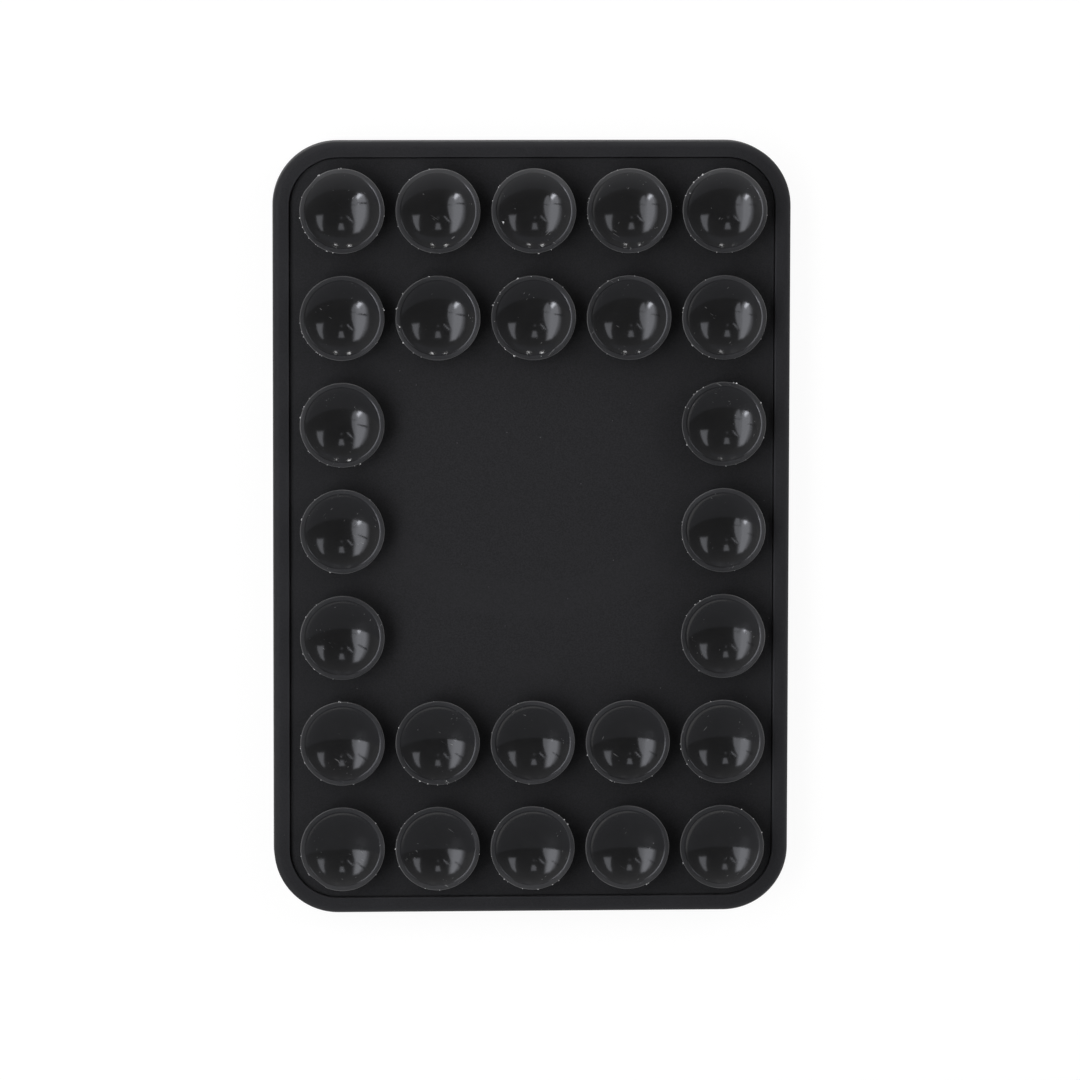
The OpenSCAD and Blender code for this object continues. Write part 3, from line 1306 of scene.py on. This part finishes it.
@dataclass
class CupPad(SoftSheet):
    """The sheet that carries the cups. The ring and the bar below it show through as a faint swell."""

    ring: Ring = (0.0, 0.0, 0.0)
    bar: Bar = (0.0, 0.0, 0.0, 0.0)
    cups: tuple[Point, ...] = ()
    swell: float = 0.02
    band_inside: float = 0.5
    band_fade: float = 1.4
    painted_shade_reach: float = 8.0

    def relief(self, x: float, y: float) -> float:
        """Depth of the faint hollows beside the ring and the bar.

        Args:
            x: Place across.
            y: Place along.

        Returns:
            Height above the sheet's plane, never above 0.
        """
        return self.swell * (self.band(x, y) - 1)

    def band(self, x: float, y: float) -> float:
        """Share of the magnets' band, which fades out beside the ring and the bar.

        Args:
            x: Place across.
            y: Place along.

        Returns:
            The share, from 0 to 1.
        """
        away = ring_and_bar(x, y, self.ring, self.bar)
        return 1 - smooth((away + self.band_inside) / self.band_fade)

    def painted_shade(self, x: float, y: float) -> float:
        """Share of painted shade at a point of the open face, from how close cups stand round it.

        Args:
            x: Place across.
            y: Place along.

        Returns:
            A share from 0, in the open, to 1, among the cups.
        """
        # painted shade: a sum of soft falloffs round every cup centre, capped at 1
        near = sum(math.exp(-((x - cx) ** 2 + (y - cy) ** 2) / self.painted_shade_reach**2) for cx, cy in self.cups)
        return min(1.0, near)


@dataclass
class PhoneSkin(SoftSheet):
    """The sheet that a phone rests on, with a shallow ring and bar that mark the magnets."""

    ring: Ring = (0.0, 0.0, 0.0)
    bar: Bar = (0.0, 0.0, 0.0, 0.0)
    depth: float = 0.15
    shoulder: float = 0.35

    def relief(self, x: float, y: float) -> float:
        """Depth of the shallow mark.

        Args:
            x: Place across.
            y: Place along.

        Returns:
            Height above the sheet's plane, never above 0.
        """
        away = ring_and_bar(x, y, self.ring, self.bar)
        return -self.depth * smooth(-away / self.shoulder)


@dataclass
class TrayShell:
    """The rigid tray: a raised border with a softly rounded outside and a crisp inner edge."""

    outline: Outline
    low: float
    high: float
    floor_low: float
    floor_high: float
    border: float = 1.95
    top_round: float = 0.8
    top_steps: int = 12
    base_round: float = 0.7
    base_steps: int = 10
    inner_round: float = 0.12
    inner_steps: int = 5
    skin_recess: float = 2.1
    recess_bevel: float = 0.06
    side_step: float = 2.0
    corner_steps: int = 28
    # painted highlight with a little wear on the inner and outer edges, stronger on the right and at both
    # ends
    inner_highlight: float = 1.0
    inner_highlight_fade: float = 0.12
    inner_highlight_drop: float = 0.4
    top_highlight: float = 0.2
    top_highlight_steps: int = 5
    base_wear_and_highlight: float = 0.1
    right_highlight: float = 4.0
    end_highlight: float = 4.0

    def section(self) -> list[tuple[float, float, float]]:
        """Section of the border, from the tray's floor over the border to the recess below.

        Returns:
            Distance in from the tray's side, height, and share of edge wear and painted highlight of each
            point.
        """
        wall = self.border
        inside, below = wall - self.inner_round, self.high - self.inner_round
        points = [(wall, self.floor_high, 0.0), (wall, below - self.inner_highlight_drop, 0.0)]
        crest = arc((inside, below), self.inner_round, 0, 90, self.inner_steps)
        points += [(x, z, self.inner_highlight) for x, z in crest]
        points.append((inside - self.inner_highlight_fade, self.high, 0.0))
        points.append(((inside + self.top_round) / 2, self.high, 0.0))
        outer = arc((self.top_round, self.high - self.top_round), self.top_round, 90, 180, self.top_steps)
        for index, (x, z) in enumerate(outer):
            points.append((x, z, self.top_highlight * min(1.0, index / self.top_highlight_steps)))
        base = arc((self.base_round, self.low + self.base_round), self.base_round, 180, 270, self.base_steps)
        points += [(x, z, self.base_wear_and_highlight) for x, z in base]
        points.append((self.skin_recess - self.recess_bevel, self.low, self.base_wear_and_highlight))
        points.append((self.skin_recess, self.low + self.recess_bevel, self.base_wear_and_highlight))
        points.append((self.skin_recess, self.floor_low, 0.0))
        return points

    def build(self) -> bpy.types.Object:
        """Models the shell and fixes it to the holder.

        Returns:
            The shell's object.
        """
        mesh = bmesh.new()
        masks: list[float] = []
        rings = []
        base = self.outline.loop(self.side_step, self.corner_steps)
        for inset, z, wear_and_highlight in self.section():
            inner = self.outline.inset(inset)
            half_w, half_l = inner.width / 2 - inner.corner, inner.length / 2 - inner.corner
            ring = []
            for x, y in base:
                cx = math.copysign(min(abs(x), half_w), x)
                cy = math.copysign(min(abs(y), half_l), y)
                dx, dy = x - cx, y - cy
                size = math.hypot(dx, dy)
                spot = Vector((cx + dx / size * inner.corner, cy + dy / size * inner.corner, z))
                ring.append(mesh.verts.new(spot * MM))
                # painted highlight: the outer edges are lightened more on the right and at both ends than on
                # the left
                highlight_sides = self.right_highlight * dx / size + self.end_highlight * abs(dy) / size
                masks.append(wear_and_highlight * max(0.0, 1 + (highlight_sides if inset < self.top_round else 0.0)))
            rings.append(ring)
        add_rings(mesh, rings)
        mesh.faces.new(rings[0])
        mesh.faces.new(rings[-1])
        piece = finish_mesh(mesh, "tray_shell", Slot.SHELL, {Mask.EDGE: masks})
        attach(piece, "holder")
        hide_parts("back_shell")
        return piece


@dataclass
class MagnetCore:
    """The pieces inside the tray, which keep their CAD shape."""

    magnets: int = 16

    def dress(self, nodes: dict[str, bpy.types.Object]) -> list[str]:
        """Gives each inner piece its finish.

        Args:
            nodes: CAD nodes of the frame.

        Returns:
            Names of the dressed nodes.
        """
        slots = {
            "core_plate": Slot.CORE,
            "shunt_ring": Slot.SHUNT,
            "orientation_magnet": Slot.MAGNET,
            "pad_adhesive": Slot.FILM,
            "skin_adhesive": Slot.FILM,
        }
        slots |= {f"ring_magnet_{number:02d}": Slot.MAGNET for number in range(1, self.magnets + 1)}
        for name, slot in slots.items():
            piece = nodes[name]
            piece.data.materials.clear()
            piece.data.materials.append(bpy.data.materials[FINISHES[slot].name])
        return list(slots)


# Studio


@dataclass(frozen=True)
class Panel:
    """A flat glowing shape that only glossy surfaces mirror, with a soft edge.

    Its corners run against the clock, in millimetres. At a low share of its brightness it is see-through,
    or dim if it is solid.
    """

    name: str
    corners: tuple[Point, ...]
    height: float
    radiance: float
    soft: float = 16.0
    edge_share: float = 0.0
    solid: bool = False

    def mesh(self) -> tuple[bmesh.types.BMesh, list[float]]:
        """Models the panel.

        Returns:
            Its mesh, in metres, and the share of its brightness at each vertex.
        """
        mesh = bmesh.new()
        outer = list(self.corners)
        inner = inset_corners(self.corners, self.soft)
        rings = []
        for ring in (outer, inner):
            rings.append([mesh.verts.new(Vector((x, y, self.height)) * MM) for x, y in ring])
        add_rings(mesh, rings)
        mesh.faces.new(rings[1])
        return mesh, [self.edge_share] * len(outer) + [1.0] * len(inner)


@dataclass(frozen=True)
class Lamp:
    """A flat lamp, given by the edges of its face in millimetres and its brightness."""

    name: str
    x: Point
    y: Point
    height: float
    radiance: float
    aim: Place | None = None
    mirrored: bool = False

    def build(self) -> bpy.types.Object:
        """Adds the lamp, which shines down or at its aim.

        Returns:
            The lamp's object.
        """
        width = (self.x[1] - self.x[0]) * MM
        length = (self.y[1] - self.y[0]) * MM
        data = bpy.data.lights.new(self.name, "AREA")
        data.shape = "RECTANGLE"
        data.size, data.size_y = width, length
        data.energy = self.radiance * math.pi * width * length
        lamp = bpy.data.objects.new(self.name, data)
        lamp.location = (sum(self.x) / 2 * MM, sum(self.y) / 2 * MM, self.height * MM)
        if self.aim:
            back = lamp.location - Vector(self.aim) * MM
            lamp.rotation_euler = back.to_track_quat("Z", "Y").to_euler()
        lamp.visible_camera = False
        lamp.visible_glossy = self.mirrored
        bpy.context.scene.collection.objects.link(lamp)
        return lamp


@dataclass
class Studio:
    """White floor and backdrop, soft lamps, what the bowls mirror, and the photograph's camera."""

    camera_at: Place = (-50.835, 93.84, 872.553)
    camera_aim: Place = (0.984, -1.386, 5.0)
    camera_roll: float = 0.002
    lens_mm: float = 235.1
    sensor_mm: float = 36.0
    clip_m: Point = (0.05, 40.0)
    zenith: float = 0.15
    horizon: float = 0.3
    horizon_left: float = 0.28
    horizon_back: float = 0.16
    matte_fill: float = 0.15
    matte_low: float = 0.3
    matte_right: float = 0.38
    floor_reach_m: float = 12.0
    floor_paint: Colour = (0.9, 0.9, 0.9)
    floor_glow: float = 1.06
    floor_share: float = 0.86
    wall_radius_m: float = 3.0
    wall_height_m: float = 0.45
    wall_steps: int = 96
    lamps: tuple[Lamp, ...] = (
        Lamp("key_light", (-540, -220), (-400, 500), 450, 2.65),
        Lamp("fill_light", (400, 680), (100, 480), 450, 5.5),
        Lamp("low_lamp_right", (180, 286), (1126, 1158), 400, 24.0, (0, 40, 7), True),
        Lamp("low_lamp_left", (-310, -194), (1225, 1259), 400, 28.0, (0, 40, 7), True),
    )
    panels: tuple[Panel, ...] = (
        Panel(
            "key_softbox",
            ((-600, -442), (-470, -442), (-345, -375), (-252, -245), (-205, -60), (-205, 300), (-235, 525),
             (-445, 525), (-495, 360), (-550, 100), (-585, -200)),
            450,
            4.7,
            80,
        ),
        Panel(
            "key_wing",
            ((-735, -330), (-600, -430), (-400, -300), (-400, 480), (-560, 500), (-690, 260)),
            460,
            2.2,
            130,
        ),
        Panel(
            "far_umbrella",
            ((-1900, -2300), (-1600, -2200), (-1250, -1750), (-1020, -1150), (-965, -560), (-1020, 60),
             (-1220, 700), (-1540, 1250), (-1900, 1450)),
            3000,
            3.0,
            120,
        ),
        Panel("umbrella_seam", ((-2260, -835), (-1010, -815), (-1010, -750), (-2260, -735)), 2980, 0.0, 8),
        Panel("key_tip", ((-240, -150), (-172, -152), (-130, -90), (-145, -56)), 200, 18.0, 14),
        Panel(
            "side_strip",
            ((325, 72), (640, 92), (645, 260), (612, 445), (540, 530), (450, 505), (405, 300)),
            450,
            2.8,
            36,
        ),
        Panel("small_lamp", ((-32, 218), (36, 218), (64, 366), (-64, 366)), 450, 2.5, 12),
        Panel("small_lamp_foot", ((-26, 108), (16, 108), (16, 152), (-26, 152)), 450, 1.3, 16),
        Panel(
            "cable_glint",
            ((-100, 96), (-90, 108), (-145, 170), (-202, 218), (-213, 206), (-158, 153)),
            450,
            4.0,
            3,
        ),
        Panel(
            "grey_card",
            ((-500, -800), (500, -800), (500, -46), (-500, -46)),
            86,
            0.38,
            130,
            edge_share=0.92,
            solid=True,
        ),
        Panel("low_flag", ((-90, 108), (90, 108), (90, 163), (-90, 163)), 60, 0.44, 2, edge_share=1.0),
        Panel("low_flag_tip", ((-24, 163), (-5, 163), (-5, 215), (-24, 215)), 60, 0.44, 2, edge_share=1.0),
    )
    panel_tint: Colour = (0.95, 0.97, 1.05)
    rod: tuple[Place, Place] = ((-80, 3, 106), (-93, 12, 64))
    rod_width: Point = (3.0, 6.0)

    def white(self, name: str) -> bpy.types.Material:
        """White surface that stays white to the camera and in reflections, and keeps a soft shadow.

        Args:
            name: Name of the material.

        Returns:
            The material.
        """
        n = Nodes(name)
        paint = n.add("ShaderNodeBsdfDiffuse")
        paint.inputs["Color"].default_value = rgba(self.floor_paint)
        glow = n.add("ShaderNodeEmission")
        glow.inputs["Strength"].default_value = self.floor_glow
        rays = n.add("ShaderNodeLightPath")
        seen = n.math("MAXIMUM", rays.outputs["Is Camera Ray"], rays.outputs["Is Glossy Ray"])
        seen = n.math("MAXIMUM", seen, rays.outputs["Is Transmission Ray"])
        mixed = n.add("ShaderNodeMixShader")
        n.feed(mixed.inputs[0], n.math("MULTIPLY", seen, self.floor_share))
        n.feed(mixed.inputs[1], paint.outputs[0])
        n.feed(mixed.inputs[2], glow.outputs[0])
        n.feed(n.output.inputs["Surface"], mixed.outputs[0])
        return n.material

    def stage_mesh(
        self,
        name: str,
        mesh: bmesh.types.BMesh,
        material: bpy.types.Material,
        glow: list[float] | None = None,
    ) -> bpy.types.Object:
        """Adds a mesh that isn't part of the holder.

        Args:
            name: Name of the object.
            mesh: Its mesh, in metres. It is freed.
            material: Its material.
            glow: Share of the material's brightness at each vertex.

        Returns:
            The object.
        """
        data = bpy.data.meshes.new(name)
        mesh.to_mesh(data)
        mesh.free()
        if glow:
            data.attributes.new(Mask.GLOW.value, "FLOAT", "POINT").data.foreach_set("value", glow)
        data.materials.append(material)
        thing = bpy.data.objects.new(name, data)
        bpy.context.scene.collection.objects.link(thing)
        return thing

    def build_floor(self) -> None:
        """Adds the floor and a low round backdrop."""
        white = self.white("white_floor")
        mesh = bmesh.new()
        bmesh.ops.create_grid(mesh, x_segments=1, y_segments=1, size=self.floor_reach_m)
        self.stage_mesh("floor", mesh, white)
        mesh = bmesh.new()
        turns = [2 * math.pi * step / self.wall_steps for step in range(self.wall_steps)]
        wall = [(self.wall_radius_m * math.cos(t), self.wall_radius_m * math.sin(t)) for t in turns]
        rings = [[mesh.verts.new((x, y, z)) for x, y in wall] for z in (0.0, self.wall_height_m)]
        add_rings(mesh, rings)
        self.stage_mesh("backdrop", mesh, white)

    def glowing(self, name: str, radiance: float, solid: bool = False) -> bpy.types.Material:
        """Material that glows by the share in the mesh's own attribute.

        Args:
            name: Name of the material.
            radiance: Its brightness at a share of 1.
            solid: Whether it is dim at a low share. It is see-through there if not.

        Returns:
            The material.
        """
        n = Nodes(name)
        share = n.mask(Mask.GLOW)
        glow = n.add("ShaderNodeEmission")
        glow.inputs["Color"].default_value = rgba(self.panel_tint)
        if solid:
            n.feed(glow.inputs["Strength"], n.math("MULTIPLY", share, radiance))
            n.feed(n.output.inputs["Surface"], glow.outputs[0])
            return n.material
        glow.inputs["Strength"].default_value = radiance
        mixed = n.add("ShaderNodeMixShader")
        n.feed(mixed.inputs[0], share)
        n.feed(mixed.inputs[1], n.add("ShaderNodeBsdfTransparent").outputs[0])
        n.feed(mixed.inputs[2], glow.outputs[0])
        n.feed(n.output.inputs["Surface"], mixed.outputs[0])
        return n.material

    def build_panels(self) -> None:
        """Adds the panels and the dark rod, which show in glossy surfaces only."""
        shown = []
        for panel in self.panels:
            mesh, glow = panel.mesh()
            material = self.glowing(panel.name, panel.radiance, panel.solid)
            shown.append(self.stage_mesh(panel.name, mesh, material, glow))
        mesh = bmesh.new()
        top, tip = zip(self.rod, self.rod_width)
        corners = []
        for ((x, y, z), width), side in ((top, -1), (top, 1), (tip, 1), (tip, -1)):
            corners.append(mesh.verts.new(Vector((x, y + side * width / 2, z)) * MM))
        mesh.faces.new(corners)
        shown.append(self.stage_mesh("dark_rod", mesh, self.glowing("dark_rod", 0.0), [1.0] * len(corners)))
        for thing in shown:
            thing.visible_camera = thing.visible_diffuse = thing.visible_shadow = False

    def build_sky(self) -> None:
        """Sets a grey world, dim overhead and brighter towards the horizon, most of all on the left."""
        world = bpy.data.worlds.new("studio")
        bpy.context.scene.world = world
        world.use_nodes = True
        n = Nodes.of_world(world)
        parts = n.add("ShaderNodeSeparateXYZ")
        n.feed(parts.inputs[0], n.place)
        low = n.math("SUBTRACT", 1.0, n.math("MULTIPLY", parts.outputs["Z"], parts.outputs["Z"]))
        low = n.math("MULTIPLY", low, low)
        side = n.math("SUBTRACT", self.horizon, n.math("MULTIPLY", parts.outputs["X"], self.horizon_left))
        side = n.math("ADD", side, n.math("MULTIPLY", parts.outputs["Y"], self.horizon_back))
        level = n.math("ADD", n.math("MULTIPLY", low, side), self.zenith)
        rays = n.add("ShaderNodeLightPath")
        matte = n.math("SUBTRACT", 1.0, rays.outputs["Is Glossy Ray"])
        fill = n.math("ADD", n.math("MULTIPLY", parts.outputs["X"], self.matte_right), self.matte_low)
        fill = n.math("ADD", n.math("MULTIPLY", low, fill), self.matte_fill)
        level = n.math("ADD", level, n.math("MULTIPLY", matte, fill))
        sky = n.add("ShaderNodeBackground")
        n.feed(sky.inputs["Strength"], level)
        n.feed(n.output.inputs["Surface"], sky.outputs[0])

    def build_camera(self) -> None:
        """Adds the camera at the photograph's place."""
        data = bpy.data.cameras.new("camera")
        data.lens = self.lens_mm
        data.sensor_width = self.sensor_mm
        data.clip_start, data.clip_end = self.clip_m
        camera = bpy.data.objects.new("camera", data)
        camera.location = Vector(self.camera_at) * MM
        back = (Vector(self.camera_at) - Vector(self.camera_aim)).normalized()
        right = Vector((-self.camera_roll, 1.0, 0.0)).cross(back).normalized()
        camera.rotation_euler = Matrix((right, back.cross(right), back)).transposed().to_euler()
        bpy.context.scene.collection.objects.link(camera)
        bpy.context.scene.camera = camera

    def build(self) -> None:
        """Adds everything round the holder."""
        bpy.context.scene.view_settings.view_transform = "Standard"
        self.build_camera()
        self.build_sky()
        self.build_floor()
        self.build_panels()
        for lamp in self.lamps:
            lamp.build()
            LOG.info("lamp %s", lamp.name)


# The holder


def box_mm(node: str) -> tuple[Vector, Vector]:
    """Lowest and highest corner of a CAD node, in millimetres."""
    low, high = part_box(node)
    return low / MM, high / MM


def centre_mm(node: str) -> Point:
    """Centre of a CAD node seen from above, in millimetres."""
    low, high = box_mm(node)
    return (low.x + high.x) / 2, (low.y + high.y) / 2


def measure_ring() -> Ring:
    """Centre height, inner radius and outer radius of the magnet ring, from the shunt ring above it."""
    low, high = box_mm("shunt_ring")
    centre = (low.y + high.y) / 2
    points = [vert.co for vert in FRAME["nodes"]["shunt_ring"].data.vertices]
    inner = min(math.hypot(point.x / MM, point.y / MM - centre) for point in points)
    return centre, inner, (high.x - low.x) / 2


def measure_bar() -> Bar:
    """Lowest and highest x, then lowest and highest y of the orientation magnet."""
    low, high = box_mm("orientation_magnet")
    return low.x, high.x, low.y, high.y


def node_outline(node: str, corner: float) -> Outline:
    """Outline of a CAD node that is a rounded rectangle from above.

    Args:
        node: Name of the node.
        corner: Radius of its corners.

    Returns:
        The outline.
    """
    low, high = box_mm(node)
    return Outline(high.x - low.x, high.y - low.y, corner)


@dataclass(frozen=True)
class SideGlow:
    """Painted glow on the outer cups' rims and lips, on the sides facing out of the holder, as shares of the
    most.
    """

    left: float = 0.2
    right: float = 0.3
    far: float = 1.0
    near: float = 0.4

    def toward(self, row: int, col: int, rows: int, cols: int) -> Point:
        """Painted side glow of one cup towards +X and +Y.

        Args:
            row: Row of the cup, from 1 at the far end.
            col: Column of the cup, from 1 at the left.
            rows: Number of rows.
            cols: Number of columns.

        Returns:
            The glow's two parts, which are 0 for a cup with others all round it.
        """
        across = {1: -self.left, cols: self.right}.get(col, 0.0)
        along = {1: self.far, rows: -self.near}.get(row, 0.0)
        return across, along


@dataclass
class Holder:
    """The whole holder: shell, phone side, magnet core and the side with the cups."""

    rows: int = 7
    cols: int = 5
    fade: SideGlow = SideGlow()
    tray_corner: float = 8.0
    pad_corner: float = 5.75
    pad_spread: float = 0.24
    pad_edge: float = 0.1
    pad_step: float = 0.5
    skin_corner: float = 5.8
    skin_edge: float = 0.2
    skin_step: float = 0.3

    def build_shell(self) -> bpy.types.Object:
        """Models the tray's shell.

        Returns:
            The shell's object.
        """
        low, high = box_mm("back_shell")
        floor_low = box_mm("skin_adhesive")[1].z
        floor_high = box_mm("core_plate")[0].z
        outline = node_outline("back_shell", self.tray_corner)
        return TrayShell(outline, low.z, high.z, floor_low, floor_high).build()

    def build_pad(self) -> bpy.types.Object:
        """Models the sheet that carries the cups.

        Returns:
            The sheet's object.
        """
        low, high = box_mm("suction_pad")
        pad = CupPad(
            name="pad_sheet",
            node="suction_pad",
            slot=Slot.PAD,
            outline=node_outline("suction_pad", self.pad_corner).inset(-self.pad_spread),
            closed_z=low.z,
            open_z=high.z,
            edge_round=self.pad_edge,
            step=self.pad_step,
            ring=measure_ring(),
            bar=measure_bar(),
            cups=tuple(centre_mm(node) for _, _, node in self.cup_nodes()),
        )
        return pad.build()

    def build_skin(self) -> bpy.types.Object:
        """Models the sheet on the phone side.

        Returns:
            The sheet's object.
        """
        low, high = box_mm("phone_skin")
        skin = PhoneSkin(
            name="phone_side_skin",
            node="phone_skin",
            slot=Slot.SKIN,
            outline=node_outline("phone_skin", self.skin_corner),
            closed_z=high.z,
            open_z=low.z,
            edge_round=self.skin_edge,
            step=self.skin_step,
            ring=measure_ring(),
            bar=measure_bar(),
        )
        return skin.build()

    def cup_nodes(self) -> list[tuple[int, int, str]]:
        """Row, column and name of every cup that the CAD model has."""
        places = [(row, col) for row in range(1, self.rows + 1) for col in range(1, self.cols + 1)]
        named = [(row, col, f"suction_cup_r{row}c{col}") for row, col in places]
        return [cup for cup in named if cup[2] in FRAME["nodes"]]

    def build_cups(self) -> list[bpy.types.Object]:
        """Models every cup that the CAD model has.

        Returns:
            The cups' objects.
        """
        made = []
        for row, col, node in self.cup_nodes():
            low, high = box_mm(node)
            cup = SuctionCup(row, col, high.z - low.z, (high.x - low.x) / 2, low.z, centre_mm(node))
            # painted glow on the sides of the outer cups that face out of the holder
            cup.fade = self.fade.toward(row, col, self.rows, self.cols)
            piece = cup.build()
            cup.press(piece)
            made.append(piece)
        return made

    def build(self) -> None:
        """Models and dresses the whole holder, and reports each piece."""
        pieces = [self.build_shell(), self.build_pad(), self.build_skin()]
        for name in MagnetCore().dress(FRAME["nodes"]):
            LOG.info("%s has its finish", name)
        pieces += self.build_cups()
        for piece in pieces:
            LOG.info("%s has %d points", piece.name, len(piece.data.vertices))


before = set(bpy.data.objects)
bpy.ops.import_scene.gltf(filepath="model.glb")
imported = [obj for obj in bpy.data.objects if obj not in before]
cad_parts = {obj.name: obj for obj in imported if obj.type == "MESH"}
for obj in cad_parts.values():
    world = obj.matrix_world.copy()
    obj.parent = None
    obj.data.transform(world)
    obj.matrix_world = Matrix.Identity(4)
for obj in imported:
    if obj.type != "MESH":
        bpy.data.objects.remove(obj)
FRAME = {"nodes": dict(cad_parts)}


def main() -> None:
    """Builds the studio and the holder."""
    logging.basicConfig(level=logging.INFO, format="%(message)s")
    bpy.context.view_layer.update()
    for finish in FINISHES.values():
        finish.make()
    Studio().build()
    Holder().build()


if __name__ == "__main__":
    main()
